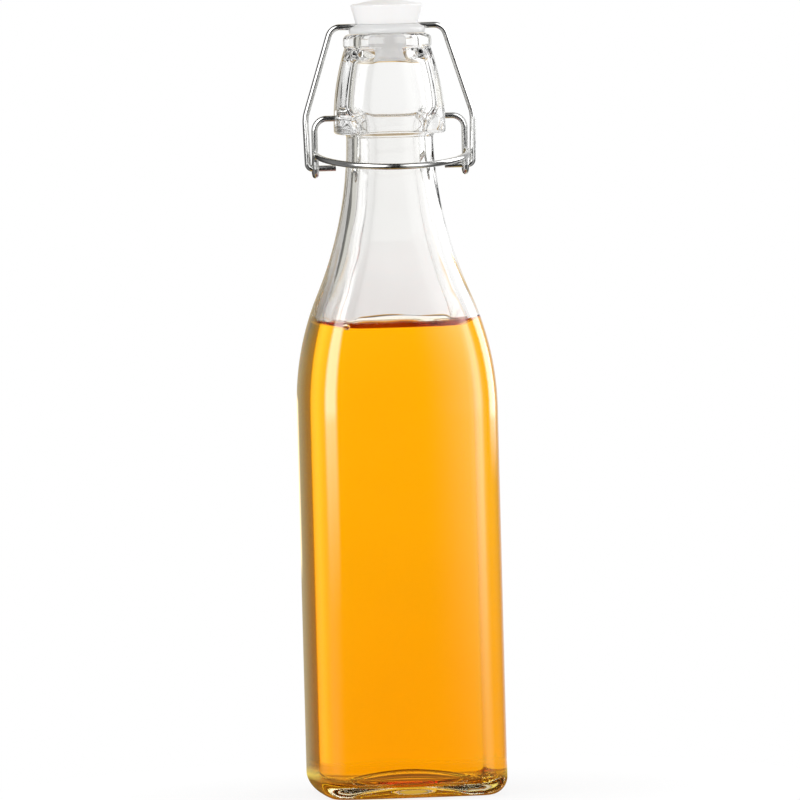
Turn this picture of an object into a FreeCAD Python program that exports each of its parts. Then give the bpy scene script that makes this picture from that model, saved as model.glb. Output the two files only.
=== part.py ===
import FreeCAD, Part
import math
import os

from FreeCAD import Vector

# Swing top bottle, in millimetres. The bottle stands on z = 0 with its axis on Z.
# Its front face looks along -Y, and the lever's bow passes in front of the neck.

# Glass body: a square with round corners and gently crowned sides
body_half_width = 31.6
body_corner_radius = 9.5
crown_angle = 4.0
wall = 3.0
body_inner_corner_radius = 11.0
heel_radius = 6.0
inner_heel_radius = 5.0
base_thickness = 4.5
push_up_radius = 19.0
push_up_height = 3.5
straight_height = 126.5

# Neck, and the shoulder that runs up to it in two tangent arcs
neck_half_width = 13.8
neck_corner_radius = 6.0
neck_wall = 3.0
neck_inner_corner_radius = 6.5
shoulder_height = 89.7
shoulder_convex_share = 0.41
shoulder_sections = 9
lead_in_sections = 2

# Collar that carries the wire, and the round mouth ring on it
collar_half_width = 17.7
collar_corner_radius = 8.0
collar_top_half_width = 13.9
collar_top_corner_radius = 9.0
collar_straight = 2.8
collar_height = 27.8
collar_edge_radius = 0.9
collar_sections = 6
collar_wall = 4.4
collar_swell_height = 9.0
mouth_closure_height = 5.0
bore_radius = 9.25
ring_radius = 14.5
ring_waist_radius = 14.0
ring_waist_height = 0.7
ring_height = 4.8
ring_edge_radius = 2.0
lip_radius = 0.8

# Contents
fill_level = 152.5
fill_clearance = 0.1

# Wire, and the clearances of its hinges
wire_radius = 1.0
hinge_clearance = 0.3
eye_clearance = 0.25

# Dimples in the collar's sides, and the lever that swings in them
pivot_above_collar_bottom = 5.3
dimple_depth = 2.5
dimple_mouth_radius = 2.9
pin_end_clearance = 0.4
lever_half_width = 24.7
lever_elbow_radius = 4.0
eye_drop = 16.2
eye_set_back = 0.5
eye_gap = 0.4
eye_kink_start = 0.9
eye_kink_height = 2.4
bow_rise = 5.0
bow_bend_radius = 2.4
bow_reach = 29.2
bow_tilt = 9.0

# Bail: crossbar through the stopper, arms that spread, and stubs in the lever's eyes
bail_top_half_width = 18.4
bail_top_bend_radius = 4.0
bail_wide_half_width = 27.6
bail_wide_above_eye = 16.7
bail_wide_bend_radius = 12.0
bail_foot_half_width = 27.1
bail_foot_bend_radius = 1.6
bail_stub_end = 18.0

# Stopper and gasket
gasket_seat_clearance = 0.25
gasket_height = 2.75
gasket_radius = 12.5
gasket_top_radius = 10.5
gasket_edge_height = 1.1
gasket_stem_clearance = 0.05
gasket_knob_clearance = 0.2
knob_height = 8.0
knob_bottom_radius = 10.2
knob_top_radius = 11.8
knob_dome_height = 1.9
knob_edge_radius = 0.7
plug_radius = 6.2
plug_depth = 8.2
plug_tip_radius = 1.2
crossbar_below_knob = 0.7

# Heights that follow from these sizes
neck_top_z = straight_height + shoulder_height
collar_top_z = neck_top_z + collar_height
rim_z = collar_top_z + ring_height
gasket_bottom_z = rim_z + gasket_seat_clearance
gasket_top_z = gasket_bottom_z + gasket_height
knob_bottom_z = gasket_top_z + gasket_knob_clearance
crossbar_z = knob_bottom_z - crossbar_below_knob
pivot_z = neck_top_z + pivot_above_collar_bottom
eye_z = pivot_z - eye_drop
hinge_radius = wire_radius + hinge_clearance
eye_bend_radius = 2 * wire_radius + eye_clearance

tolerance = 1e-6
up = Vector(0, 0, 1)
across = Vector(1, 0, 0)


def section(z, half_width, corner_radius):
    """Closed wire of a crowned square with round corners: wide and corner arcs by turns, all tangent."""
    turn = math.radians(crown_angle)
    spread = 1 + math.sin(turn) - math.cos(turn)
    side_radius = (half_width - corner_radius * (math.cos(turn) - math.sin(turn))) / spread
    side_centre = half_width - side_radius
    corner_centre = side_centre + (side_radius - corner_radius) * math.cos(turn)
    edges = []
    for quarter in range(4):
        face = quarter * math.pi / 2
        side_middle = Vector(side_centre * math.cos(face), side_centre * math.sin(face), z)
        edges.append(arc_about(side_middle, side_radius, face - turn, face + turn))
        diagonal = face + math.pi / 4
        reach = corner_centre * math.sqrt(2)
        corner_middle = Vector(reach * math.cos(diagonal), reach * math.sin(diagonal), z)
        edges.append(arc_about(corner_middle, corner_radius, face + turn, face + math.pi / 2 - turn))
    return Part.Wire(edges)


def arc_about(centre, radius, start, end):
    """Level arc about a centre, from one angle to another."""
    points = []
    for angle in (start, (start + end) / 2, end):
        points.append(centre + Vector(radius * math.cos(angle), radius * math.sin(angle), 0))
    return Part.Arc(*points).toShape()


def shoulder_half_width(height, low, high, rise):
    """Half width at a height above the shoulder's start, along a convex arc and then a concave one."""
    slope = 2 * math.atan((low - high) / rise)
    both_radii = rise / math.sin(slope)
    convex = both_radii * shoulder_convex_share
    concave = both_radii - convex
    if height <= convex * math.sin(slope):
        return low - (convex - math.sqrt(convex ** 2 - height ** 2))
    return high + (concave - math.sqrt(concave ** 2 - (rise - height) ** 2))


def bottle_form(low, high, low_corner, high_corner, floor_z, floor_radius):
    """Solid from a rounded floor up the straight body and the shoulder to the collar's underside."""
    pitch = shoulder_height / shoulder_sections
    join_z = straight_height - lead_in_sections * pitch
    block = Part.Face(section(floor_z, low, low_corner)).extrude(up * (join_z - floor_z))
    floor_edges = [edge for edge in block.Edges if edge.BoundBox.ZMax < floor_z + tolerance]
    block = block.makeFillet(floor_radius, floor_edges)
    wires = []
    for step in range(-lead_in_sections, shoulder_sections + 1):
        height = step * pitch
        half_width = low
        if step > 0:
            half_width = shoulder_half_width(height, low, high, shoulder_height)
        blend = (low - half_width) / (low - high)
        corner = low_corner + (high_corner - low_corner) * blend
        wires.append(section(straight_height + height, half_width, corner))
    return block.fuse(Part.makeLoft(wires, True, False))


def collar_half_width_at(height):
    """Half width at a height above the collar's foot: upright, then leaning in along one arc."""
    lean = collar_height - collar_straight
    inset = collar_half_width - collar_top_half_width
    radius = (lean ** 2 + inset ** 2) / (2 * inset)
    above = max(height - collar_straight, 0)
    return collar_half_width - (radius - math.sqrt(radius ** 2 - above ** 2))


def collar_form():
    """Collar from the neck up to the mouth ring."""
    wires = [section(neck_top_z, collar_half_width, collar_corner_radius)]
    for step in range(collar_sections + 1):
        blend = step / collar_sections
        height = collar_straight + (collar_height - collar_straight) * blend
        corner = collar_corner_radius + (collar_top_corner_radius - collar_corner_radius) * blend
        wires.append(section(neck_top_z + height, collar_half_width_at(height), corner))
    solid = Part.makeLoft(wires, True, False)
    foot_edges = [edge for edge in solid.Edges if edge.BoundBox.ZMax < neck_top_z + tolerance]
    return solid.makeFillet(collar_edge_radius, foot_edges)


def ease(share):
    """0 up to a share of 0, 1 from a share of 1 on, and a soft step between."""
    share = min(max(share, 0), 1)
    return share * share * (3 - 2 * share)


def collar_space():
    """Space inside the collar: it swells out of the neck, follows the collar and closes to the mouth."""
    neck = neck_half_width - neck_wall
    count = 2 * collar_sections
    wires = []
    for step in range(count + 1):
        height = collar_height * step / count
        follow = collar_half_width_at(height) - collar_wall
        foot = 1 - ease(height / collar_swell_height)
        top = ease((height - collar_height + mouth_closure_height) / mouth_closure_height)
        half_width = follow + (neck - follow) * foot + (bore_radius - follow) * top
        corner = neck_inner_corner_radius + (bore_radius - neck_inner_corner_radius) * top
        wires.append(section(neck_top_z + height, half_width, corner))
    return Part.makeLoft(wires, True, False)


def turned(outline):
    """Solid turned about Z from an outline of (radius, z) points that starts and ends on the axis."""
    points = [Vector(radius, 0, z) for radius, z in outline]
    face = Part.Face(Part.makePolygon(points + points[:1]))
    return face.revolve(Vector(0, 0, 0), up, 360)


def rounded(solid, radius, edge_radius, z):
    """The solid with the round edge of that radius at that height rounded off."""
    picked = []
    for edge in solid.Edges:
        box = edge.BoundBox
        level = box.ZMax - box.ZMin < tolerance and abs(box.ZMax - z) < tolerance
        if level and abs(box.XMax - radius) < tolerance:
            picked.append(edge)
    return solid.makeFillet(edge_radius, picked)


def mouth_ring():
    """Round ring of the mouth, with a slight waist where it leaves the collar."""
    waist_z = collar_top_z + ring_waist_height
    ring = turned([(0, collar_top_z - ring_waist_height),
                   (ring_waist_radius, collar_top_z - ring_waist_height),
                   (ring_waist_radius, collar_top_z),
                   (ring_radius, waist_z),
                   (ring_radius, rim_z),
                   (0, rim_z)])
    return rounded(ring, ring_radius, ring_edge_radius, rim_z)


def cap_ball(rim_radius, height, foot_z, offset):
    """Ball whose top stands over the plane z = foot_z as a dome of that rim radius and height."""
    radius = (rim_radius ** 2 + height ** 2) / (2 * height)
    return Part.makeSphere(radius + offset, Vector(0, 0, foot_z + height - radius))


def cavity_form(inset):
    """Space inside the body and neck, drawn in from the glass by an inset, less the floor's dome."""
    low = body_half_width - wall - inset
    high = neck_half_width - neck_wall - inset
    low_corner = body_inner_corner_radius - inset
    high_corner = neck_inner_corner_radius - inset
    floor_z = base_thickness + inset
    space = bottle_form(low, high, low_corner, high_corner, floor_z, inner_heel_radius)
    return space.cut(cap_ball(push_up_radius, push_up_height, base_thickness, inset))


def dimple(side):
    """Blind pivot hole with a conical mouth in one side of the collar."""
    outward = across * side
    mouth = Vector(side * collar_half_width, 0, pivot_z)
    bottom = mouth - outward * dimple_depth
    hole = Part.makeCylinder(hinge_radius, dimple_depth, bottom, outward)
    flare = dimple_mouth_radius - hinge_radius
    start = mouth - outward * flare
    cone = Part.makeCone(hinge_radius, dimple_mouth_radius + flare, 2 * flare, start, outward)
    return hole.fuse(cone)


def bent_wire(corners):
    """Round wire along straight runs with tangent bends. Each corner is a point and its bend radius."""
    points = [Vector(*point) for point, radius in corners]
    edges = []
    here = points[0]
    for before, (point, radius), after in zip(points, corners[1:-1], points[2:]):
        corner = Vector(*point)
        back = (before - corner).normalize()
        on = (after - corner).normalize()
        half_turn = (math.pi - back.getAngle(on)) / 2
        setback = radius * math.tan(half_turn)
        start = corner + back * setback
        end = corner + on * setback
        inward = (back + on).normalize()
        middle = corner + inward * (radius / math.cos(half_turn) - radius)
        if here.distanceToPoint(start) > tolerance:
            edges.append(Part.LineSegment(here, start).toShape())
        edges.append(Part.Arc(start, middle, end).toShape())
        here = end
    edges.append(Part.LineSegment(here, points[-1]).toShape())
    path = Part.Wire(edges)
    profile = Part.Wire(Part.makeCircle(wire_radius, points[0], points[1] - points[0]))
    solid = path.makePipeShell([profile], True, False)
    print("wire length", round(path.Length, 2), "volume ratio",
          round(solid.Volume / (path.Length * math.pi * wire_radius ** 2), 5))
    return solid


def mirrored(corners):
    """The corners of the right half, followed back by those of the left half."""
    left = [((-x, y, z), radius) for (x, y, z), radius in reversed(corners)]
    return left + corners


def glass_bottle():
    outside = bottle_form(body_half_width, neck_half_width, body_corner_radius, neck_corner_radius,
                          0, heel_radius)
    outside = outside.fuse(collar_form()).fuse(mouth_ring())
    mouth = Part.makeCylinder(bore_radius, 2 * ring_height, Vector(0, 0, collar_top_z))
    glass = outside.cut(cavity_form(0)).cut(collar_space()).cut(mouth)
    glass = rounded(glass, bore_radius, lip_radius, rim_z)
    glass = glass.cut(cap_ball(push_up_radius, push_up_height, 0, 0))
    for side in (-1, 1):
        glass = glass.cut(dimple(side))
    return glass.removeSplitter()


def liquid_contents():
    space = cavity_form(fill_clearance)
    reach = 2 * body_half_width
    above = Part.makeBox(2 * reach, 2 * reach, neck_top_z, Vector(-reach, -reach, fill_level))
    return space.cut(above)


def lever_wire():
    side = lever_half_width
    pin_tip = collar_half_width - dimple_depth + pin_end_clearance
    eye_y = eye_set_back
    front_y = eye_y - eye_bend_radius
    back_y = eye_y + eye_bend_radius
    arm_y = front_y + 2 * wire_radius + eye_gap
    kink_z = eye_z + eye_kink_start
    bow_z = eye_z + bow_rise
    bow_front_z = bow_z - (bow_reach + front_y) * math.tan(math.radians(bow_tilt))
    right = [((side, -bow_reach, bow_front_z), side),
             ((side, front_y, bow_z), bow_bend_radius),
             ((side, front_y, eye_z - eye_bend_radius), eye_bend_radius),
             ((side, back_y, eye_z - eye_bend_radius), eye_bend_radius),
             ((side, back_y, kink_z), eye_bend_radius),
             ((side, arm_y, kink_z + eye_kink_height), eye_bend_radius),
             ((side, 0, pivot_z), lever_elbow_radius),
             ((pin_tip, 0, pivot_z), 0)]
    return bent_wire(mirrored(right))


def bail_wire():
    lean = eye_set_back / (crossbar_z - eye_z)
    wide_z = eye_z + bail_wide_above_eye
    right = [((bail_top_half_width, 0, crossbar_z), bail_top_bend_radius),
             ((bail_wide_half_width, lean * (crossbar_z - wide_z), wide_z), bail_wide_bend_radius),
             ((bail_foot_half_width, eye_set_back, eye_z), bail_foot_bend_radius),
             ((bail_stub_end, eye_set_back, eye_z), 0)]
    return bent_wire(mirrored(right))


def crossbar_hole():
    """Straight passage for the bail's crossbar, right through the stopper."""
    length = 2 * gasket_radius + 2
    return Part.makeCylinder(hinge_radius, length, Vector(-length / 2, 0, crossbar_z), across)


def stopper():
    edge_z = knob_bottom_z + knob_height - knob_dome_height
    plug_end_z = rim_z - plug_depth
    body = turned([(0, plug_end_z),
                   (plug_radius, plug_end_z),
                   (plug_radius, knob_bottom_z),
                   (knob_bottom_radius, knob_bottom_z),
                   (knob_top_radius, edge_z),
                   (0, edge_z)])
    body = rounded(body, plug_radius, plug_tip_radius, plug_end_z)
    dome = cap_ball(knob_top_radius, knob_dome_height, edge_z, 0)
    over_edge = Part.makeCylinder(2 * knob_top_radius, 2 * knob_height, Vector(0, 0, edge_z))
    body = body.fuse(dome.common(over_edge))
    body = rounded(body, knob_top_radius, knob_edge_radius, edge_z)
    return body.cut(crossbar_hole()).removeSplitter()


def gasket():
    shoulder_z = gasket_bottom_z + gasket_edge_height
    ring = turned([(0, gasket_bottom_z),
                   (gasket_radius, gasket_bottom_z),
                   (gasket_radius, shoulder_z),
                   (gasket_top_radius, gasket_top_z),
                   (0, gasket_top_z)])
    ring = rounded(ring, gasket_radius, gasket_edge_height, shoulder_z)
    hole = Part.makeCylinder(plug_radius + gasket_stem_clearance, 2 * gasket_height,
                             Vector(0, 0, gasket_bottom_z - gasket_height / 2))
    return ring.cut(hole).cut(crossbar_hole())


os.makedirs("parts", exist_ok=True)
for make in (glass_bottle, liquid_contents, lever_wire, bail_wire, stopper, gasket):
    piece = make().Solids[0]
    box = piece.optimalBoundingBox(True, False)
    print(make.__name__, "valid", piece.isValid(), "volume", round(piece.Volume),
          "x", round(box.XMin, 2), round(box.XMax, 2), "y", round(box.YMin, 2), round(box.YMax, 2),
          "z", round(box.ZMin, 2), round(box.ZMax, 2))
    piece.exportStep("parts/" + make.__name__ + ".step")
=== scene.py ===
import math

import bpy
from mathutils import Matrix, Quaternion, Vector


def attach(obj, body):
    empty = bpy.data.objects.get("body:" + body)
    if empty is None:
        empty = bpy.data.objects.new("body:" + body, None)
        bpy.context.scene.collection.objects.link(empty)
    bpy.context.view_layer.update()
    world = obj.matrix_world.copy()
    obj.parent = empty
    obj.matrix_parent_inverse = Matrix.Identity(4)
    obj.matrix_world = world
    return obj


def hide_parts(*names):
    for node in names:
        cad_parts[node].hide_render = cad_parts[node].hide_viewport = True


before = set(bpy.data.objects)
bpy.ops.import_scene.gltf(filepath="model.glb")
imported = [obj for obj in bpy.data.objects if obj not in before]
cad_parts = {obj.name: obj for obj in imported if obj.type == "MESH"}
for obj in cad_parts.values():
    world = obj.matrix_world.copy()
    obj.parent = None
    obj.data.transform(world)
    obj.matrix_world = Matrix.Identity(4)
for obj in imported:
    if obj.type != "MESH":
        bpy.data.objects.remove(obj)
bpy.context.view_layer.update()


# Glass bottle: one piece of clear blown glass, square with round corners, drawn in to a slim square neck.
# The mould leaves a thick collar with a dimple on each side for the wire, and a round fire polished mouth.
# Its wall is 3 mm thick, and the bottom is pushed up in the middle so that it stands on a ring.

mm = 0.001
crown_angle = math.radians(4.0)
wall = 3.0
body_half = 31.6
body_corner = 9.5
inner_body_corner = 11.0
neck_half = 13.8
neck_corner = 6.0
inner_neck_corner = 6.5
outer_heel = 6.0
inner_heel = 5.0
floor_thickness = 4.5
dome_rim = 19.0
dome_height = 3.5
straight_top_z = 126.5
shoulder_rise = 89.7
convex_share = 0.41
collar_foot_z = 216.2
collar_half = 17.7
collar_corner = 8.0
collar_top_corner = 9.0
collar_fillet = 1.2
collar_under_half = 16.0
collar_under_corner = 7.1
collar_edge = 0.9
collar_straight = 2.8
lean_rise = 25.0
lean_inset = 3.8
collar_wall = 4.4
collar_swell = 9.0
throat_rise = 5.0
ring_foot_rows = [(13.95, 11.0, 244.15), (14.05, 13.0, 244.3), (14.25, 14.25, 244.5)]
ring_half = 14.5
ring_foot_z = 245.2
ring_side_z = 246.0
ring_foot_round = 0.5
ring_top_round = 2.0
mouth_z = 248.8
mouth_round = 0.8
mouth_flat_half = 11.3
bore_radius = 9.25
bore_heights = (247.0, 246.0, 245.0)
pivot_z = 221.5
dimple_depth = 2.3
dimple_half_height = 3.3
dimple_half_width = 2.5
dimple_floor_share = 0.42
dimple_least_x = 15.0
ripple_height = 0.5
ripple_fade_z = 212.0
ripple_fade_rise = 14.0
ripple_fade = 0.8
fill_contact_z = 155.0
contact_gap = 0.02
contact_clear = 0.4


class Flow:
    """A socket of a node tree. Plain sums written on it add Math nodes."""

    def __init__(self, tree, socket):
        self.tree = tree
        self.socket = socket

    @classmethod
    def make(cls, tree, kind, settings=None, values=None, out=0):
        """Adds a node of that kind, sets it up, fills or links its sockets, and gives one output."""
        node = tree.nodes.new(kind)
        for name, setting in (settings or {}).items():
            if name == "stops":
                ramp = node.color_ramp
                while len(ramp.elements) < len(setting):
                    ramp.elements.new(0.5)
                for stop, (place, colour) in zip(ramp.elements, setting):
                    stop.position = place
                    stop.color = colour
            else:
                setattr(node, name, setting)
        for name, value in (values or {}).items():
            if isinstance(value, cls):
                tree.links.new(value.socket, node.inputs[name])
            else:
                node.inputs[name].default_value = value
        return cls(tree, node.outputs[out])

    def out(self, name):
        """Another output of the same node."""
        return Flow(self.tree, self.socket.node.outputs[name])

    def math(self, operation, *terms):
        """Math node over the given terms, or over this socket alone."""
        return Flow.make(self.tree, "ShaderNodeMath", {"operation": operation},
                         dict(enumerate(terms or (self,))))

    def __add__(self, other):
        return self.math("ADD", self, other)

    def __radd__(self, other):
        return self.math("ADD", other, self)

    def __sub__(self, other):
        return self.math("SUBTRACT", self, other)

    def __rsub__(self, other):
        return self.math("SUBTRACT", other, self)

    def __mul__(self, other):
        return self.math("MULTIPLY", self, other)

    def __rmul__(self, other):
        return self.math("MULTIPLY", other, self)

    def __truediv__(self, other):
        return self.math("DIVIDE", self, other)

    def __rtruediv__(self, other):
        return self.math("DIVIDE", other, self)

    def __gt__(self, other):
        return self.math("GREATER_THAN", self, other)

    def smooth(self, low, high):
        """0 below low, 1 above high, and a soft step between. low may be the larger one."""
        return Flow.make(self.tree, "ShaderNodeMapRange", {"interpolation_type": "SMOOTHSTEP"},
                         {"Value": self, "From Min": low, "From Max": high})


def new_tree(name, inputs):
    """Empty shaping tree with a geometry input and output and the named inputs."""
    tree = bpy.data.node_groups.new(name, "GeometryNodeTree")
    tree.interface.new_socket("Geometry", in_out="INPUT", socket_type="NodeSocketGeometry")
    for label, kind in inputs:
        tree.interface.new_socket(label, in_out="INPUT", socket_type="NodeSocket" + kind)
    tree.interface.new_socket("Geometry", in_out="OUTPUT", socket_type="NodeSocketGeometry")
    entry = Flow.make(tree, "NodeGroupInput")
    return tree, {label: entry.out(label) for label in ["Geometry"] + [label for label, _ in inputs]}


def close_tree(tree, shape, material):
    """Ends a tree: real geometry, with its material."""
    whole = Flow.make(tree, "GeometryNodeRealizeInstances", None, {"Geometry": shape})
    dressed = Flow.make(tree, "GeometryNodeSetMaterial", None, {"Geometry": whole, "Material": material})
    end = tree.nodes.new("NodeGroupOutput")
    tree.links.new(dressed.socket, end.inputs["Geometry"])


def named(tree, label):
    """A number that each point of the input holds under that name."""
    return Flow.make(tree, "GeometryNodeInputNamedAttribute", {"data_type": "FLOAT"}, {"Name": label})


def stored(tree, shape, label, value):
    """The same shape, with a number kept on each of its points under that name."""
    return Flow.make(tree, "GeometryNodeStoreNamedAttribute", {"data_type": "FLOAT", "domain": "POINT"},
                     {"Geometry": shape, "Name": label, "Value": value})


def grown(name, points, attributes, tree, settings, edges=()):
    """Plain mesh that a tree makes from these points, given in millimetres."""
    seed = bpy.data.meshes.new(name + "_points")
    seed.from_pydata([[value * mm for value in point] for point in points], edges, [])
    for label, values in attributes.items():
        layer = seed.attributes.new(label, "FLOAT", "POINT")
        layer.data.foreach_set("value", values)
    piece = bpy.data.objects.new(name, seed)
    bpy.context.scene.collection.objects.link(piece)
    reshape(piece, tree, settings)
    return piece


def reshape(piece, tree, settings):
    """Puts a piece through a tree and leaves it as a plain mesh."""
    modifier = piece.modifiers.new("form", "NODES")
    modifier.node_group = tree
    for item in tree.interface.items_tree:
        if item.in_out == "INPUT" and item.name in settings:
            modifier[item.identifier] = settings[item.name]
    ready = piece.evaluated_get(bpy.context.evaluated_depsgraph_get())
    made = bpy.data.meshes.new_from_object(ready)
    piece.modifiers.remove(modifier)
    piece.data = made
    made.name = piece.name


def section_tree():
    """Skin over a stack of crowned squares. Each point of the input holds one square's
    half width, corner radius and height; equal half width and corner radius give a circle."""
    tree, given = new_tree("section_skin", [("Side points", "Int"), ("Corner points", "Int"),
                                            ("Dimple depth", "Float"), ("Wave", "Float"),
                                            ("Material", "Material")])
    rows = Flow.make(tree, "GeometryNodeAttributeDomainSize", {"component": "MESH"},
                     {"Geometry": given["Geometry"]})
    per_quarter = given["Side points"] + given["Corner points"]
    around = per_quarter * 4
    grid = Flow.make(tree, "GeometryNodeMeshGrid", None,
                     {"Size X": 1.0, "Size Y": 1.0, "Vertices X": around + 1, "Vertices Y": rows})
    place = Flow.make(tree, "ShaderNodeSeparateXYZ", None,
                      {0: Flow.make(tree, "GeometryNodeInputPosition")})
    row = ((place.out("Y") + 0.5) * (rows - 1)).math("ROUND")
    step = ((place.out("X") + 0.5) * around).math("ROUND")

    def of_row(kind, value):
        return Flow.make(tree, "GeometryNodeSampleIndex", {"data_type": kind, "domain": "POINT"},
                         {"Geometry": given["Geometry"], "Value": value, "Index": row})

    size = Flow.make(tree, "ShaderNodeSeparateXYZ", None,
                     {0: of_row("FLOAT_VECTOR", Flow.make(tree, "GeometryNodeInputPosition"))})
    half, corner, height = size.out("X"), size.out("Y"), size.out("Z")

    quarter = (step / per_quarter).math("FLOOR")
    within = step - quarter * per_quarter
    on_corner = within > given["Side points"] + 0.5
    side_turn = (within / given["Side points"]) * (2 * crown_angle) - crown_angle
    corner_turn = ((within - given["Side points"]) / given["Corner points"]) \
        * (math.pi / 2 - 2 * crown_angle) + crown_angle
    face = quarter * (math.pi / 2)
    turn = face + side_turn + on_corner * (corner_turn - side_turn)

    flank = math.cos(crown_angle) - math.sin(crown_angle)
    spread = 1 + math.sin(crown_angle) - math.cos(crown_angle)
    side_radius = (half - corner * flank) / spread
    side_centre = half - side_radius
    corner_centre = side_centre + (side_radius - corner) * math.cos(crown_angle)
    radius = side_radius + on_corner * (corner - side_radius)
    reach = side_centre + on_corner * (corner_centre * math.sqrt(2) - side_centre)
    aim = face + on_corner * (math.pi / 4)
    x = reach * aim.math("COSINE") + radius * turn.math("COSINE")
    y = reach * aim.math("SINE") + radius * turn.math("SINE")

    off_pivot = (height - pivot_z * mm) / (dimple_half_height * mm)
    off_middle = y / (dimple_half_width * mm)
    away = (off_pivot * off_pivot + off_middle * off_middle).math("SQRT")
    outer = x.math("ABSOLUTE") > dimple_least_x * mm
    dent = outer * away.smooth(1.0, dimple_floor_share) * given["Dimple depth"]
    x = x - x.math("SIGN") * dent

    spot = Flow.make(tree, "ShaderNodeCombineXYZ", None, {"X": x, "Y": y, "Z": height})
    marked = stored(tree, grid, "wet", of_row("FLOAT", named(tree, "wet")))
    marked = stored(tree, marked, "inside", of_row("FLOAT", named(tree, "inside")))
    skin = Flow.make(tree, "GeometryNodeSetPosition", None, {"Geometry": marked, "Position": spot})
    closed = Flow.make(tree, "GeometryNodeMergeByDistance", None, {"Geometry": skin, "Distance": 1e-6})

    ripple = Flow.make(tree, "ShaderNodeTexNoise", {"noise_dimensions": "4D"},
                       {"Vector": Flow.make(tree, "GeometryNodeInputPosition"), "W": 3.7, "Scale": 55.0,
                        "Detail": 1.0})
    swell = (ripple - 0.5) * named(tree, "inside") * given["Wave"]
    push = Flow.make(tree, "ShaderNodeVectorMath", {"operation": "SCALE"},
                     {0: Flow.make(tree, "GeometryNodeInputNormal"), "Scale": swell})
    waved = Flow.make(tree, "GeometryNodeSetPosition", None, {"Geometry": closed, "Offset": push})
    smooth = Flow.make(tree, "GeometryNodeSetShadeSmooth", None, {"Geometry": waved})
    close_tree(tree, smooth, given["Material"])
    return tree


def arc_rows(centre_half, centre_z, radius, start, end, count):
    """Half widths and heights along an arc, from one angle to another in degrees, ends included."""
    rows = []
    for step in range(count + 1):
        angle = math.radians(start + (end - start) * step / count)
        rows.append((centre_half + radius * math.cos(angle), centre_z + radius * math.sin(angle)))
    return rows


def turned(rows):
    """Round rows, from half widths and heights."""
    return [(half, half, z) for half, z in rows]


def shoulder_row(height, low, high, low_corner, high_corner):
    """Row at a height over the shoulder's foot: on a convex arc, then on a longer concave one."""
    slope = 2 * math.atan((low - high) / shoulder_rise)
    both = shoulder_rise / math.sin(slope)
    convex = both * convex_share
    concave = both - convex
    if height <= convex * math.sin(slope):
        half = low - (convex - math.sqrt(convex ** 2 - height ** 2))
    else:
        half = high + (concave - math.sqrt(concave ** 2 - (shoulder_rise - height) ** 2))
    share = (low - half) / (low - high)
    return half, low_corner + (high_corner - low_corner) * share, straight_top_z + height


def ease(share):
    """0 up to a share of 0, 1 from a share of 1 on, and a soft step between."""
    share = min(max(share, 0), 1)
    return share * share * (3 - 2 * share)


def body_rows(low, high, low_corner, high_corner, floor_z, heel):
    """Rows from the middle of the floor's dome out to the heel, up the body and over the shoulder."""
    dome_steps, flat_steps, heel_steps, straight_steps, shoulder_steps = 14, 5, 12, 30, 70
    rows = []
    ball = (dome_rim ** 2 + dome_height ** 2) / (2 * dome_height)
    for step in range(dome_steps + 1):
        out = dome_rim * step / dome_steps
        rows.append((out, out, floor_z + dome_height - (ball - math.sqrt(ball ** 2 - out ** 2))))
    flat = low - heel
    for step in range(1, flat_steps):
        share = step / flat_steps
        rows.append((dome_rim + (flat - dome_rim) * share,
                     dome_rim + (low_corner - heel - dome_rim) * share, floor_z))
    for half, z in arc_rows(flat, floor_z + heel, heel, -90, 0, heel_steps):
        rows.append((half, low_corner - heel + half - flat, z))
    straight = straight_top_z - floor_z - heel
    for step in range(1, straight_steps + 1):
        rows.append((low, low_corner, floor_z + heel + straight * step / straight_steps))
    for step in range(1, shoulder_steps + 1):
        rows.append(shoulder_row(shoulder_rise * step / shoulder_steps, low, high, low_corner, high_corner))
    return rows


def lean_in(height):
    """How far the collar's side has leaned in at a height over its straight foot."""
    radius = (lean_rise ** 2 + lean_inset ** 2) / (2 * lean_inset)
    return radius - math.sqrt(radius ** 2 - height ** 2)


outside_rows = body_rows(body_half, neck_half, body_corner, neck_corner, 0.0, outer_heel)[:-1]
for half, z in arc_rows(neck_half + collar_fillet, collar_foot_z - collar_fillet, collar_fillet, 180, 90, 6):
    outside_rows.append((half, neck_corner + half - neck_half, z))
outside_rows.append((collar_under_half, collar_under_corner, collar_foot_z))
for half, z in arc_rows(collar_half - collar_edge, collar_foot_z + collar_edge, collar_edge, -90, 0, 6):
    outside_rows.append((half, collar_corner + half - collar_half, z))
upright_steps, lean_steps, throat_steps = 8, 60, 64
for step in range(1, upright_steps + 1):
    height = collar_edge + (collar_straight - collar_edge) * step / upright_steps
    outside_rows.append((collar_half, collar_corner, collar_foot_z + height))
for step in range(1, lean_steps + 1):
    share = step / lean_steps
    outside_rows.append((collar_half - lean_in(lean_rise * share),
                         collar_corner + (collar_top_corner - collar_corner) * share,
                         collar_foot_z + collar_straight + lean_rise * share))
outside_rows += ring_foot_rows
outside_rows += turned(arc_rows(ring_half - ring_foot_round, ring_foot_z, ring_foot_round, -60, 0, 4))
outside_rows += turned([(ring_half, ring_side_z)])
outside_rows += turned(arc_rows(ring_half - ring_top_round, mouth_z - ring_top_round, ring_top_round,
                                0, 90, 10))
outside_rows += turned([(mouth_flat_half, mouth_z)])
outside_rows += turned(arc_rows(bore_radius + mouth_round, mouth_z - mouth_round, mouth_round, 90, 180, 6))

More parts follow.
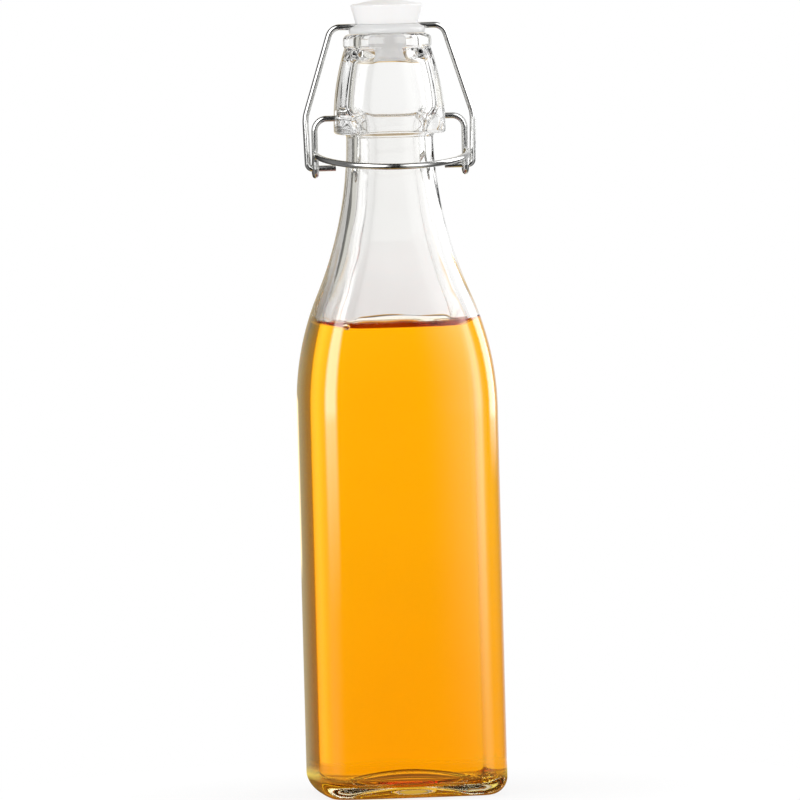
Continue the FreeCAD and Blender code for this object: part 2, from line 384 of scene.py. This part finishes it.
inner_form = (body_half - wall, neck_half - wall, inner_body_corner, inner_neck_corner)
inside_rows = turned([(bore_radius, z) for z in bore_heights])
collar_rise = collar_straight + lean_rise
for step in range(throat_steps + 1):
    height = collar_rise * (1 - step / throat_steps)
    follow = collar_half - collar_wall - lean_in(max(height - collar_straight, 0))
    foot = 1 - ease(height / collar_swell)
    top = ease((height - collar_rise + throat_rise) / throat_rise)
    inside_rows.append((follow + (neck_half - wall - follow) * foot + (bore_radius - follow) * top,
                        inner_neck_corner + (bore_radius - inner_neck_corner) * top, collar_foot_z + height))
down = body_rows(*inner_form, floor_thickness, inner_heel)[-2::-1]
inside_rows += [row for row in down if row[2] > fill_contact_z + contact_clear]
for off in (contact_gap, -contact_gap):
    inside_rows.append(shoulder_row(fill_contact_z + off - straight_top_z, *inner_form))
inside_rows += [row for row in down if row[2] < fill_contact_z - contact_clear]

inside_marks = [0.0] * len(outside_rows)
wet_marks = [0.0] * len(outside_rows)
for half, corner, z in inside_rows:
    wet_marks.append(1.0 if z < fill_contact_z else 0.0)
    fade = ripple_fade * ease((z - ripple_fade_z) / ripple_fade_rise)
    inside_marks.append(1 - fade if z > fill_contact_z else 0.0)


def new_material(name):
    """Empty material and its tree."""
    material = bpy.data.materials.new(name)
    material.use_nodes = True
    material.node_tree.nodes.clear()
    return material, material.node_tree


def finish_material(tree, surface, volume=None):
    """Links the surface, and the volume if there is one, to the material's output."""
    end = tree.nodes.new("ShaderNodeOutputMaterial")
    tree.links.new(surface.socket, end.inputs["Surface"])
    if volume:
        tree.links.new(volume.socket, end.inputs["Volume"])


def kept_mark(tree, label):
    """A number that the mesh keeps on its points under that name."""
    return Flow.make(tree, "ShaderNodeAttribute", {"attribute_name": label}, None, "Fac")


def blend(share, first, second):
    """Colour between two. Sockets 6 and 7 of the node take its colours, and 2 gives the blend."""
    return Flow.make(share.tree, "ShaderNodeMix", {"data_type": "RGBA"},
                     {"Factor": share, 6: first, 7: second}, 2)


clear_glass, tree = new_material("clear_glass")
spot = Flow.make(tree, "ShaderNodeTexCoord", out="Object")
haze = Flow.make(tree, "ShaderNodeTexNoise", None, {"Vector": spot, "Scale": 38.0, "Detail": 3.0})
tint = blend(haze.smooth(0.35, 0.65), (0.97, 0.97, 0.965, 1), (0.99, 0.99, 0.985, 1))
inner_mark = kept_mark(tree, "inside")
# Painted shade: the dry inside of the glass is tinted grey, which greys the empty neck.
tint = blend(inner_mark, tint, (0.94, 0.935, 0.92, 1))
height = Flow.make(tree, "ShaderNodeSeparateXYZ", None, {0: spot}, "Z")
polish = inner_mark.smooth(0.15, 0.0) * height.smooth(0.178, 0.155)
dry = Flow.make(tree, "ShaderNodeBsdfPrincipled", None,
                {"Base Color": tint, "Roughness": 0.0, "IOR": 1.5, "Transmission Weight": 1.0,
                 "Coat Weight": polish, "Coat IOR": 1.55, "Coat Roughness": 0.0})
# Painted shade: the wetted glass turns darker and warmer towards the bottom.
low_painted_shade = blend(height.smooth(0.15, 0.0), (1, 1, 1, 1), (0.97, 0.80, 0.7, 1))
wetted = Flow.make(tree, "ShaderNodeBsdfPrincipled", None,
                   {"Base Color": low_painted_shade, "Roughness": 0.0, "IOR": 1.1, "Transmission Weight": 1.0})
finish_material(tree, Flow.make(tree, "ShaderNodeMixShader", None,
                                {0: kept_mark(tree, "wet") > 0.5, 1: dry, 2: wetted}))

skin_tree = section_tree()
glass = grown("glass_bottle_skin", outside_rows + inside_rows, {"inside": inside_marks, "wet": wet_marks},
              skin_tree, {"Side points": 26, "Corner points": 18, "Dimple depth": dimple_depth * mm,
                          "Wave": ripple_height * mm, "Material": clear_glass})
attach(glass, "bottle")
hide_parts("glass_bottle")


# Liquid: about half a litre of clear amber liquid, which wets the glass all the way up to its surface.
# It creeps up the wall in a small rim, and a bubble floats at the front left corner. It reaches a hair
# into the glass, so that no film of air shows between the two.

level_z = 152.2
overlap = 0.06
contact_step = 0.3
rim_reach = 1.7
corner_loss = 0.6
least_corner = 2.0
round_half = 8.0
surface_steps = 24
bubble_centre = (-18.3, -23.8, 153.9)
bubble_radius = 1.1

fill_form = [size + overlap for size in inner_form]
wall_rows = [row for row in body_rows(*fill_form, floor_thickness - overlap, inner_heel)
             if row[2] < fill_contact_z - contact_step]
contact_half, contact_corner, _ = shoulder_row(fill_contact_z - straight_top_z, *fill_form)
surface_rows = []
for step in range(surface_steps + 1):
    inset = contact_half * (step / surface_steps) ** 2
    half = contact_half - inset
    corner = half
    if half > round_half:
        corner = min(max(contact_corner - corner_loss * inset, least_corner), half)
    surface_rows.append((half, corner, level_z + (fill_contact_z - level_z) * math.exp(-inset / rim_reach)))

amber_liquid, tree = new_material("amber_liquid")
against_glass = Flow.make(tree, "ShaderNodeBsdfPrincipled", None,
                          {"Base Color": (1, 1, 1, 1), "Roughness": 0.0, "IOR": 1.0,
                           "Transmission Weight": 1.0})
open_surface = Flow.make(tree, "ShaderNodeBsdfPrincipled", None,
                         {"Base Color": (1, 1, 1, 1), "Roughness": 0.0, "IOR": 1.42,
                          "Transmission Weight": 1.0})
amber = Flow.make(tree, "ShaderNodeVolumeAbsorption", None,
                  {"Color": (0.998, 0.878, 0.0, 1), "Density": 120.0})
finish_material(tree, Flow.make(tree, "ShaderNodeMixShader", None,
                                {0: kept_mark(tree, "wet") > 0.5, 1: against_glass, 2: open_surface}), amber)

liquid_marks = {"inside": [0.0] * (len(wall_rows) + len(surface_rows)),
                "wet": [0.0] * len(wall_rows) + [1.0] * len(surface_rows)}
liquid = grown("liquid_fill", wall_rows + surface_rows, liquid_marks, skin_tree,
               {"Side points": 26, "Corner points": 18, "Dimple depth": 0.0, "Wave": 0.0,
                "Material": amber_liquid})


def bubble_tree():
    """Adds one round bubble to a piece."""
    tree, given = new_tree("bubble", [("Centre", "Vector"), ("Radius", "Float"), ("Material", "Material")])
    ball = Flow.make(tree, "GeometryNodeMeshUVSphere", None,
                     {"Segments": 32, "Rings": 20, "Radius": given["Radius"]})
    placed = Flow.make(tree, "GeometryNodeTransform", None,
                       {"Geometry": ball, "Translation": given["Centre"]})
    smooth = Flow.make(tree, "GeometryNodeSetShadeSmooth", None,
                       {"Geometry": stored(tree, placed, "wet", 1.0)})
    both = Flow.make(tree, "GeometryNodeJoinGeometry", None, {"Geometry": given["Geometry"]})
    tree.links.new(smooth.socket, both.socket.node.inputs["Geometry"])
    close_tree(tree, both, given["Material"])
    return tree


reshape(liquid, bubble_tree(), {"Centre": tuple(value * mm for value in bubble_centre),
                                "Radius": bubble_radius * mm, "Material": amber_liquid})
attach(liquid, "bottle")
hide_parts("liquid_contents")


# Lever: one length of bright spring wire. Its ends sit in the collar's dimples, it turns an eye on each
# side for the bail, and its bow goes round the front of the neck as the handle.

wire_radius = 1.0
lever_half = 24.7
bow_reach = 27.45
bow_drop = math.radians(9.0)
bow_root_z = 210.3
bow_root_bend = 2.4
eye_front_y = -1.75
eye_back_y = 2.75
eye_foot_z = 203.05
eye_back_z = 206.2
eye_bend = 2.25
arm_foot_y = 0.65
arm_foot_z = 208.6
pivot_bend = 4.0
lever_end_x = 15.6


def wire_tree():
    """Round wire along straight runs, with each corner bent to the radius that its point holds."""
    tree, given = new_tree("bent_wire", [("Wire radius", "Float"), ("Bend points", "Int"),
                                         ("Round points", "Int"), ("Material", "Material")])
    runs = Flow.make(tree, "GeometryNodeMeshToCurve", None, {"Mesh": given["Geometry"]})
    bent = Flow.make(tree, "GeometryNodeFilletCurve", {"mode": "POLY"},
                     {"Curve": runs, "Count": given["Bend points"], "Radius": named(tree, "bend"),
                      "Limit Radius": False})
    along = Flow.make(tree, "GeometryNodeSplineParameter", out="Length")
    ring = Flow.make(tree, "GeometryNodeCurvePrimitiveCircle", None,
                     {"Resolution": given["Round points"], "Radius": given["Wire radius"]})
    turn = Flow.make(tree, "GeometryNodeSplineParameter", out="Factor")
    tube = Flow.make(tree, "GeometryNodeCurveToMesh", None,
                     {"Curve": stored(tree, bent, "along", along),
                      "Profile Curve": stored(tree, ring, "round", turn), "Fill Caps": True})
    smooth = Flow.make(tree, "GeometryNodeSetShadeSmooth", None, {"Geometry": tube})
    cut_edge = Flow.make(tree, "GeometryNodeInputMeshEdgeAngle") > 0.9
    crisp = Flow.make(tree, "GeometryNodeSetShadeSmooth", {"domain": "EDGE"},
                      {"Geometry": smooth, "Selection": cut_edge, "Shade Smooth": False})
    close_tree(tree, crisp, given["Material"])
    return tree


def both_sides(right):
    """The corners of the right half, after those of the left half that mirror them."""
    return [((-x, y, z), bend) for (x, y, z), bend in reversed(right)] + right


def bent_wire(name, corners, material):
    """A wire along these corners, each given with the radius of its bend."""
    points = [point for point, bend in corners]
    bends = [bend * mm for point, bend in corners]
    edges = [(index, index + 1) for index in range(len(points) - 1)]
    return grown(name, points, {"bend": bends}, wire_maker,
                 {"Wire radius": wire_radius * mm, "Bend points": 14, "Round points": 24,
                  "Material": material}, edges)


bright_wire, tree = new_material("bright_wire")
drawn = Flow.make(tree, "ShaderNodeCombineXYZ", None,
                  {"X": kept_mark(tree, "along") * 60.0, "Y": kept_mark(tree, "round") * 5.0, "Z": 0.0})
lines = Flow.make(tree, "ShaderNodeTexNoise", None, {"Vector": drawn, "Scale": 1.0, "Detail": 2.0})
spot = Flow.make(tree, "ShaderNodeTexCoord", out="Object")
cloud = Flow.make(tree, "ShaderNodeTexNoise", None, {"Vector": spot, "Scale": 160.0, "Detail": 2.0})
steel = blend(lines.smooth(0.3, 0.7), (0.52, 0.52, 0.51, 1), (0.69, 0.69, 0.68, 1))
relief = Flow.make(tree, "ShaderNodeBump", None, {"Strength": 0.04, "Distance": 0.0001, "Height": lines})
finish_material(tree, Flow.make(tree, "ShaderNodeBsdfPrincipled", None,
                                {"Base Color": steel, "Metallic": 1.0, "Roughness": cloud * 0.12 + 0.1,
                                 "Normal": relief}))

wire_maker = wire_tree()
bow_front_z = bow_root_z - bow_reach * math.tan(bow_drop)
lever = bent_wire("lever_wire_bend",
                  both_sides([((lever_half, eye_front_y - bow_reach, bow_front_z), lever_half),
                              ((lever_half, eye_front_y, bow_root_z), bow_root_bend),
                              ((lever_half, eye_front_y, eye_foot_z), eye_bend),
                              ((lever_half, eye_back_y, eye_foot_z), eye_bend),
                              ((lever_half, eye_back_y, eye_back_z), eye_bend),
                              ((lever_half, arm_foot_y, arm_foot_z), eye_bend),
                              ((lever_half, 0, pivot_z), pivot_bend),
                              ((lever_end_x, 0, pivot_z), 0)]), bright_wire)
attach(lever, "lever")
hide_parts("lever_wire")


# Bail: a second length of the same wire. Its crossbar goes through the stopper, its arms spread round
# the collar, and its two hooked ends turn in the lever's eyes.

crossbar_z = 251.3
bail_top = (18.4, 0, crossbar_z)
bail_elbow = (27.6, 0.3185, 222.0)
bail_foot = (27.1, 0.5, 205.3)
bail_end = (18.0, 0.5, 205.3)
bail_top_bend, bail_elbow_bend, bail_foot_bend = 4.0, 12.0, 1.6

bail = bent_wire("bail_wire_bend", both_sides([(bail_top, bail_top_bend), (bail_elbow, bail_elbow_bend),
                                               (bail_foot, bail_foot_bend), (bail_end, 0)]), bright_wire)
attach(bail, "bail")
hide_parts("bail_wire")


# Stopper: white moulded plastic, a knob that flares towards its domed top over a plug that enters the
# neck, in one piece. The bail's crossbar runs through a hole under the knob.

plug_half = 6.2
plug_foot_z = 240.6
plug_round = 1.2
plug_heights = (245.0, 249.0)
plug_fillet = 0.4
knob_foot_z = 252.0
knob_under_half = 8.5
knob_foot_half = 10.2
knob_foot_round = 0.3
knob_flare = [(10.6, 253.7), (11.1, 255.6), (11.55, 257.3)]
knob_edge_half = 11.0
knob_edge_z = 257.9
knob_edge_round = 0.75
knob_top_z = 260.0
knob_dome_half = 11.8
knob_dome_rise = 1.9
knob_dome_steps = 20
bar_hole_radius = 1.3
bar_hole_reach = 16.0
bar_hole_points = 40


def cut_crossbar(piece):
    """Bores the crossbar's hole through a turned piece."""
    bar = bpy.data.meshes.new("crossbar_bore")
    count = bar_hole_points
    points = []
    for end in (-bar_hole_reach, bar_hole_reach):
        for step in range(count):
            angle = 2 * math.pi * step / count
            points.append((end * mm, bar_hole_radius * mm * math.cos(angle),
                           crossbar_z * mm + bar_hole_radius * mm * math.sin(angle)))
    faces = [tuple(reversed(range(count))), tuple(range(count, 2 * count))]
    faces += [(step, (step + 1) % count, count + (step + 1) % count, count + step) for step in range(count)]
    bar.from_pydata(points, [], faces)
    tool = bpy.data.objects.new("crossbar_bore", bar)
    bpy.context.scene.collection.objects.link(tool)
    cut = piece.modifiers.new("bore", "BOOLEAN")
    cut.object = tool
    cut.solver = "EXACT"
    made = bpy.data.meshes.new_from_object(piece.evaluated_get(bpy.context.evaluated_depsgraph_get()))
    piece.modifiers.remove(cut)
    piece.data = made
    bpy.data.objects.remove(tool)
    made.set_sharp_from_angle(angle=math.radians(35))


def turned_piece(name, rows, material):
    """Round piece with the crossbar's hole in it."""
    piece = grown(name, turned(rows), {"inside": [0.0] * len(rows), "wet": [0.0] * len(rows)}, skin_tree,
                  {"Side points": 4, "Corner points": 24, "Dimple depth": 0.0, "Wave": 0.0,
                   "Material": material})
    cut_crossbar(piece)
    return piece


stopper_rows = [(0.0, plug_foot_z)]
stopper_rows += arc_rows(plug_half - plug_round, plug_foot_z + plug_round, plug_round, -90, 0, 8)
stopper_rows += [(plug_half, z) for z in plug_heights]
stopper_rows += arc_rows(plug_half + plug_fillet, knob_foot_z - plug_fillet, plug_fillet, 180, 90, 4)
stopper_rows += [(knob_under_half, knob_foot_z)]
stopper_rows += arc_rows(knob_foot_half - knob_foot_round, knob_foot_z + knob_foot_round, knob_foot_round,
                         -90, -10, 4)
stopper_rows += knob_flare
stopper_rows += arc_rows(knob_edge_half, knob_edge_z, knob_edge_round, -8, 80, 8)
knob_ball = (knob_dome_half ** 2 + knob_dome_rise ** 2) / (2 * knob_dome_rise)
for step in range(1, knob_dome_steps + 1):
    out = knob_edge_half * (1 - step / knob_dome_steps)
    stopper_rows.append((out, knob_top_z - knob_ball + math.sqrt(knob_ball ** 2 - out ** 2)))

white_plastic, tree = new_material("white_plastic")
spot = Flow.make(tree, "ShaderNodeTexCoord", out="Object")
grain = Flow.make(tree, "ShaderNodeTexNoise", None, {"Vector": spot, "Scale": 900.0, "Detail": 3.0})
cloud = Flow.make(tree, "ShaderNodeTexNoise", None, {"Vector": spot, "Scale": 70.0, "Detail": 2.0})
white = blend(cloud, (0.92, 0.905, 0.895, 1), (0.95, 0.94, 0.935, 1))
relief = Flow.make(tree, "ShaderNodeBump", None, {"Strength": 0.12, "Distance": 0.0001, "Height": grain})
finish_material(tree, Flow.make(tree, "ShaderNodeBsdfPrincipled", None,
                                {"Base Color": white, "Roughness": cloud * 0.12 + 0.32, "IOR": 1.5,
                                 "Subsurface Weight": 0.2, "Subsurface Radius": (0.004, 0.0035, 0.003),
                                 "Normal": relief}))
stopper = turned_piece("stopper_moulding", stopper_rows, white_plastic)
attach(stopper, "closure")
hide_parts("stopper")


# Gasket: a soft ring of clear rubber round the plug, flat underneath where it seals on the mouth and
# rounded on its upper shoulder. The crossbar presses it down.

gasket_bore = 6.25
gasket_half = 12.5
gasket_foot_z = 249.05
gasket_side_z = 249.8
gasket_top_z = 251.98
gasket_top_half = 8.0
gasket_edge = 0.3
gasket_shoulder = 1.1
gasket_shoulder_z = 250.15
gasket_slope = (11.3, 251.4)
gasket_crown_half = 10.2
gasket_crown_round = 0.5

low_edge_z = gasket_foot_z + gasket_edge
gasket_rows = arc_rows(gasket_bore + gasket_edge, low_edge_z, gasket_edge, 180, 270, 3)
gasket_rows += arc_rows(gasket_half - gasket_edge, low_edge_z, gasket_edge, -90, 0, 3)
gasket_rows += [(gasket_half, gasket_side_z)]
gasket_rows += arc_rows(gasket_half - gasket_shoulder, gasket_shoulder_z, gasket_shoulder, 0, 55, 6)
gasket_rows += [gasket_slope]
gasket_rows += arc_rows(gasket_crown_half, gasket_top_z - gasket_crown_round, gasket_crown_round, 50, 90, 3)
gasket_rows += [(gasket_top_half, gasket_top_z)]
gasket_rows += arc_rows(gasket_bore + gasket_edge, gasket_top_z - gasket_edge, gasket_edge, 90, 180, 3)
gasket_rows += [(gasket_bore, low_edge_z)]

clear_rubber, tree = new_material("clear_rubber")
spot = Flow.make(tree, "ShaderNodeTexCoord", out="Object")
cloud = Flow.make(tree, "ShaderNodeTexNoise", None, {"Vector": spot, "Scale": 260.0, "Detail": 3.0})
milky = blend(cloud, (0.94, 0.94, 0.93, 1), (0.98, 0.98, 0.97, 1))
relief = Flow.make(tree, "ShaderNodeBump", None, {"Strength": 0.2, "Distance": 0.0001, "Height": cloud})
finish_material(tree, Flow.make(tree, "ShaderNodeBsdfPrincipled", None,
                                {"Base Color": milky, "Roughness": cloud * 0.15 + 0.25, "IOR": 1.41,
                                 "Transmission Weight": 0.2, "Subsurface Weight": 0.4,
                                 "Subsurface Radius": (0.003, 0.003, 0.003), "Normal": relief}))
gasket = turned_piece("gasket_ring", gasket_rows, clear_rubber)
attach(gasket, "closure")
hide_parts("gasket")


# Studio: a plain pale floor under a white surround, with soft lights at the front, at the sides and behind.
# To light that passes the glass or is mirrored, the floor and the surround show light and dark bands
# instead of plain white: they draw the edges of the glass, its side strips and the lines in its base.

floor_radius = 0.14
table_z = -0.0002
floor_sides = 96
through_glow = 1.19
plain_share = 1.02 / through_glow

floor_mesh = bpy.data.meshes.new("studio_floor")
floor_points = []
for step in range(floor_sides):
    angle = 2 * math.pi * step / floor_sides
    floor_points.append((floor_radius * math.cos(angle), floor_radius * math.sin(angle), table_z))
floor_mesh.from_pydata(floor_points, [], [tuple(range(floor_sides))])
floor = bpy.data.objects.new("studio_floor", floor_mesh)
bpy.context.scene.collection.objects.link(floor)


def bands(share, stops, level=1.0):
    """Colour by a share from 0 to 1, blended from stop to stop, with every stop dimmed to that level."""
    stops = [(place, [part * level for part in colour] + [1]) for place, colour in stops]
    return Flow.make(share.tree, "ShaderNodeValToRGB", {"stops": stops}, {"Fac": share})


# The camera sees a white floor that keeps the shadow near the bottle. The bottle's base shows painted rings
# of shadow and light on the floor under it, and its sides mirror a painted amber reflection of the floor,
# which fades out at its rim.
pale_floor, tree = new_material("pale_floor")
path = Flow.make(tree, "ShaderNodeLightPath")
spot = Flow.make(tree, "ShaderNodeVectorMath", {"operation": "LENGTH"},
                 {0: Flow.make(tree, "ShaderNodeTexCoord", out="Object")}, "Value")
looked_at = path.out("Is Camera Ray") * (0.85 + spot.smooth(0.03, floor_radius) * 0.15)
glanced_at = (1 - path.out("Is Camera Ray")) * path.out("Is Glossy Ray")
# Painted shadow and light: rings on the floor that only light passing the glass sees.
under = bands(spot * 10.0, [(0.0, (0.30, 0.36, 0.05)), (0.17, (0.34, 0.36, 0.05)),
                            (0.21, (0.06, 0.03, 0.012)), (0.25, (0.75, 0.58, 0.25)),
                            (0.28, (0.05, 0.03, 0.015)), (0.34, (0.09, 0.05, 0.015)),
                            (0.40, (0.95, 0.88, 0.3)), (1.0, (1, 1, 1))])
# Painted reflection: an amber floor that the sides of the glass mirror.
sheen = bands(spot / floor_radius, [(0.0, (0.2, 0.1, 0.02)), (0.4, (0.25, 0.14, 0.03)),
                                    (0.62, (0.85, 0.66, 0.14)), (0.8, (0.7, 0.52, 0.16)),
                                    (1.0, (0.33, 0.26, 0.14))], plain_share)
shade = blend(path.out("Is Transmission Ray"), sheen, under)
shade = blend(path.out("Is Camera Ray"), shade, (plain_share, plain_share, plain_share, 1))
paint = Flow.make(tree, "ShaderNodeBsdfDiffuse", None, {"Color": (0.85, 0.85, 0.85, 1)})
glow = Flow.make(tree, "ShaderNodeEmission", None, {"Color": shade, "Strength": through_glow})
table = Flow.make(tree, "ShaderNodeMixShader", None, {0: looked_at + glanced_at, 1: paint, 2: glow})
faded = glanced_at * spot.smooth(0.085, 0.138)
finish_material(tree, Flow.make(tree, "ShaderNodeMixShader", None,
                                {0: faded, 1: table, 2: Flow.make(tree, "ShaderNodeBsdfTransparent")}))
floor_mesh.materials.append(pale_floor)

world = bpy.data.worlds.new("studio")
bpy.context.scene.world = world
world.use_nodes = True
tree = world.node_tree
tree.nodes.clear()
degrees = 180 / math.pi
aim = Flow.make(tree, "ShaderNodeSeparateXYZ", None,
                {0: Flow.make(tree, "ShaderNodeTexCoord", out="Generated")})
round_about = aim.math("ARCTAN2", aim.out("X"), aim.out("Y")) * degrees
upward = aim.out("Z").math("ARCSINE") * degrees


def all_round(levels):
    """Brightness of the surround by bearing, in degrees from -180 to 180, blended from level to level."""
    stops = [((bearing + 180) / 360, (level, level, level)) for bearing, level in levels]
    return bands((round_about + 180) / 360, stops, 0.5) * 2.0


def soft_light(low, high, soft, foot, full):
    """1 inside a soft edged light that stands between two bearings and fades out towards its foot."""
    return round_about.smooth(low - soft, low + soft) * round_about.smooth(high + soft, high - soft) \
        * upward.smooth(foot, full) * upward.smooth(65, 50)


path = Flow.make(tree, "ShaderNodeLightPath")
through = path.out("Is Transmission Ray")
mirror = path.out("Is Glossy Ray") * (1 - through)
tinted = path.out("Transmission Depth") > 5.5
lit = path.out("Diffuse Depth") > 0.5

# Brightness of the surround as it is seen through clear glass, past the liquid, in mirrors, and plainly.
past_glass = all_round([(-180, 0.8), (-150, 0.95), (-132, 1.05), (-110, 1.35), (-100, 1.3), (-88, 0.8),
                        (-72, 0.75), (-60, 0.62), (-46, 0.64), (-42, 0.12), (-32, 0.12), (-27, 0.9),
                        (-18, 0.96), (-10, 0.9), (-5, 0.88), (0, 0.92), (5, 1.02), (14, 1.08), (24, 1.06),
                        (38, 1.18), (58, 1.2), (74, 1.05), (84, 0.95), (96, 0.8), (110, 0.9), (126, 1.15),
                        (146, 1.0), (165, 0.9), (180, 0.8)])
past_liquid = all_round([(-180, 0.8), (-100, 0.9), (-60, 0.8), (-30, 0.9), (-8, 1.14), (4, 1.19), (16, 1.21),
                         (26, 1.6), (46, 1.7), (56, 1.1), (66, 0.9), (90, 0.75), (120, 0.8), (180, 0.8)])
seen_through = past_glass + tinted * (past_liquid - past_glass)
seen_through = seen_through + lit * (1.35 - seen_through)
mirrored = all_round([(-180, 0.004), (-168, 0.004), (-135, 0.3), (-118, 0.3), (-105, 0.17), (-75, 0.27),
                      (-60, 0.2), (-30, 0.03), (-20, 0.03), (-11, 0.1), (-4, 0.34), (0, 0.46), (5, 0.6),
                      (8, 1.1), (22, 0.8), (40, 0.6), (58, 0.15), (112, 0.12), (128, 0.6), (150, 0.4),
                      (168, 0.004), (180, 0.004)]) * upward.smooth(75, 55)
mirrored = mirrored + soft_light(-165, -120, 8, -4.0, -1.8) * 4.6
mirrored = mirrored + soft_light(132, 164, 8, -5.2, -1.8) * 2.9
mirrored = mirrored + soft_light(58, 96, 8, -3.2, -2.4) * 5.0
edge_light = round_about.smooth(-3, 1) * round_about.smooth(9, 7) \
    * upward.smooth(-3.7, -3.5) * upward.smooth(-2.4, -2.6)
mirrored = mirrored + edge_light * 0.9
plain = 1.09 - upward.smooth(20, 65) * 0.36
strength = mirror * mirrored + through * seen_through + (1 - mirror) * (1 - through) * plain
strength = path.out("Is Camera Ray") + (1 - path.out("Is Camera Ray")) * strength

# Colour of the surround: beige in the dim parts past clear glass, painted light and dark bands above the
# horizon that the base of the glass bends into view, and a painted warm reflection at the left where the
# glass mirrors it.
plain_white = (1, 1, 1)
# Painted shade and light: bands that the base bends into lines, seen past clear glass.
painted_bands_past_glass = bands(upward / 60, [(0.0, plain_white), (0.09, plain_white), (0.16, (0.75, 0.45, 0.06)),
                              (0.24, (0.10, 0.05, 0.015)), (0.34, (0.90, 0.82, 0.62)),
                              (0.42, (0.12, 0.06, 0.02)), (0.54, (0.55, 0.33, 0.08)),
                              (0.7, (0.08, 0.04, 0.015)), (0.85, (0.8, 0.8, 0.8)), (1.0, plain_white)])
# Painted shade and light: bands that the base bends into lines, seen past the liquid.
painted_bands_past_liquid = bands(upward / 75, [(0.0, (0.95, 0.85, 0.25)), (0.07, (0.9, 0.75, 0.2)),
                                 (0.12, (0.12, 0.06, 0.02)), (0.17, (0.3, 0.18, 0.06)),
                                 (0.23, (0.10, 0.05, 0.02)), (0.31, (0.5, 0.3, 0.1)),
                                 (0.39, (0.07, 0.035, 0.02)), (0.47, (0.95, 0.9, 0.75)),
                                 (0.55, (0.12, 0.06, 0.03)), (0.68, (0.42, 0.24, 0.08)),
                                 (0.80, (0.08, 0.04, 0.02)), (0.92, (0.95, 0.92, 0.85))])
ahead = round_about.smooth(-32, -22) * round_about.smooth(42, 32) * upward.smooth(3, 6)
left_side = round_about.smooth(-36, -22) * round_about.smooth(9, 5)
colour = blend(through * (1 - tinted) * strength.smooth(0.95, 0.45), (1, 1, 1, 1), (1, 0.972, 0.86, 1))
colour = blend(through * (1 - tinted) * ahead, colour, painted_bands_past_glass)
colour = blend(through * tinted * upward.smooth(1, 3), colour, painted_bands_past_liquid)
# Painted reflection: mirrored light at the left is tinted warm, which browns the glass's left edge strip.
colour = blend(mirror * left_side, colour, (1.0, 0.83, 0.52, 1))
surround = Flow.make(tree, "ShaderNodeBackground", None, {"Color": colour, "Strength": strength})
end = tree.nodes.new("ShaderNodeOutputWorld")
tree.links.new(surround.socket, end.inputs["Surface"])

camera_distance = 3.46
camera_height = 0.292
camera_bearing = math.radians(-6.0)
camera_roll = math.radians(-1.5)
sight_point = Vector((0.0011, 0.0, 0.1287))

lens = bpy.data.cameras.new("photo_camera")
lens.lens = 475.6
lens.sensor_width = 36.0
lens.clip_end = 20.0
camera = bpy.data.objects.new("photo_camera", lens)
bpy.context.scene.collection.objects.link(camera)
camera.location = (camera_distance * math.sin(camera_bearing), -camera_distance * math.cos(camera_bearing),
                   camera_height)
sight = sight_point - camera.location
camera.rotation_mode = "QUATERNION"
camera.rotation_quaternion = sight.to_track_quat("-Z", "Y") @ Quaternion((0, 0, 1), camera_roll)
bpy.context.scene.camera = camera
bpy.context.scene.view_settings.view_transform = "Standard"
bpy.context.scene.cycles.max_bounces = 32
bpy.context.scene.cycles.transmission_bounces = 32
bpy.context.scene.cycles.glossy_bounces = 12
